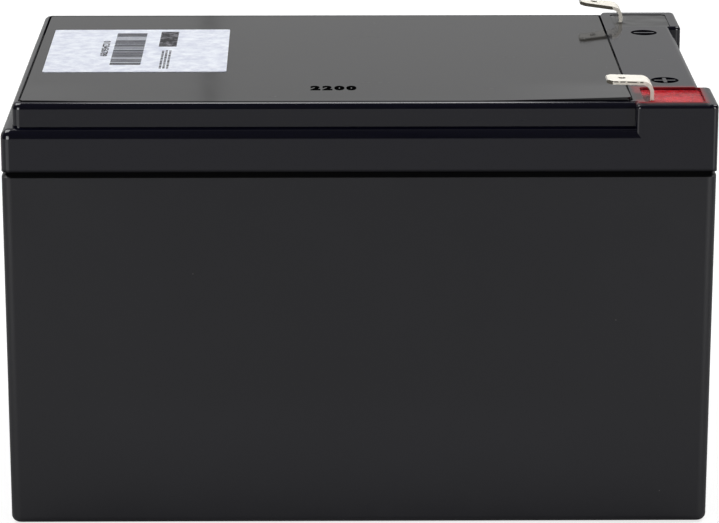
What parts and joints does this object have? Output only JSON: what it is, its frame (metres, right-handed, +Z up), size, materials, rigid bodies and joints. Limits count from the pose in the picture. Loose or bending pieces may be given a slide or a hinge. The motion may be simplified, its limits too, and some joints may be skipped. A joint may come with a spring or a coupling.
{
  "type": "sealed lead-acid battery",
  "caption": "Box-shaped sealed lead-acid battery with a stepped cover, a vent plate over six valves and two bent push-on tabs at one end.",
  "frame": {"origin": "middle of the underside of the container, which stands on the floor", "axes": "+Z up; +X along the length towards the terminal end; -Y is the side with the positive terminal"},
  "size_m": [0.151, 0.098, 0.0976],
  "materials": {
    "container_abs": "satin moulded ABS",
    "cover_abs": "glossy moulded ABS",
    "joint_epoxy": "cured epoxy",
    "label_paper": "coated label paper with grey print",
    "rubber": "moulded rubber",
    "positive_plate_paste": "lead dioxide paste on a lead grid",
    "negative_plate_lead": "spongy lead on a lead grid",
    "glass_mat": "absorbent glass fibre mat",
    "lead": "cast lead",
    "tinned_brass": "bright tin plating on brass",
    "red_epoxy": "glossy potting resin",
    "black_epoxy": "glossy potting resin"
  },
  "bodies": {
    "root": {"container": "container_abs", "cover": "cover_abs", "joint_adhesive": "joint_epoxy", "vent_plate": "cover_abs", "label": "label_paper", "valve_cap_1": "rubber", "valve_cap_2": "rubber", "valve_cap_3": "rubber", "valve_cap_4": "rubber", "valve_cap_5": "rubber", "valve_cap_6": "rubber", "positive_plates_1": "positive_plate_paste", "negative_plates_1": "negative_plate_lead", "glass_mat_separators_1": "glass_mat", "positive_plates_2": "positive_plate_paste", "negative_plates_2": "negative_plate_lead", "glass_mat_separators_2": "glass_mat", "positive_plates_3": "positive_plate_paste", "negative_plates_3": "negative_plate_lead", "glass_mat_separators_3": "glass_mat", "positive_plates_4": "positive_plate_paste", "negative_plates_4": "negative_plate_lead", "glass_mat_separators_4": "glass_mat", "positive_plates_5": "positive_plate_paste", "negative_plates_5": "negative_plate_lead", "glass_mat_separators_5": "glass_mat", "positive_plates_6": "positive_plate_paste", "negative_plates_6": "negative_plate_lead", "glass_mat_separators_6": "glass_mat", "positive_post": "lead", "positive_seal_ring": "rubber", "positive_tab": "tinned_brass", "positive_terminal_epoxy": "red_epoxy", "negative_post": "lead", "negative_seal_ring": "rubber", "negative_tab": "tinned_brass", "negative_terminal_epoxy": "black_epoxy"}
  },
  "joints": []
}
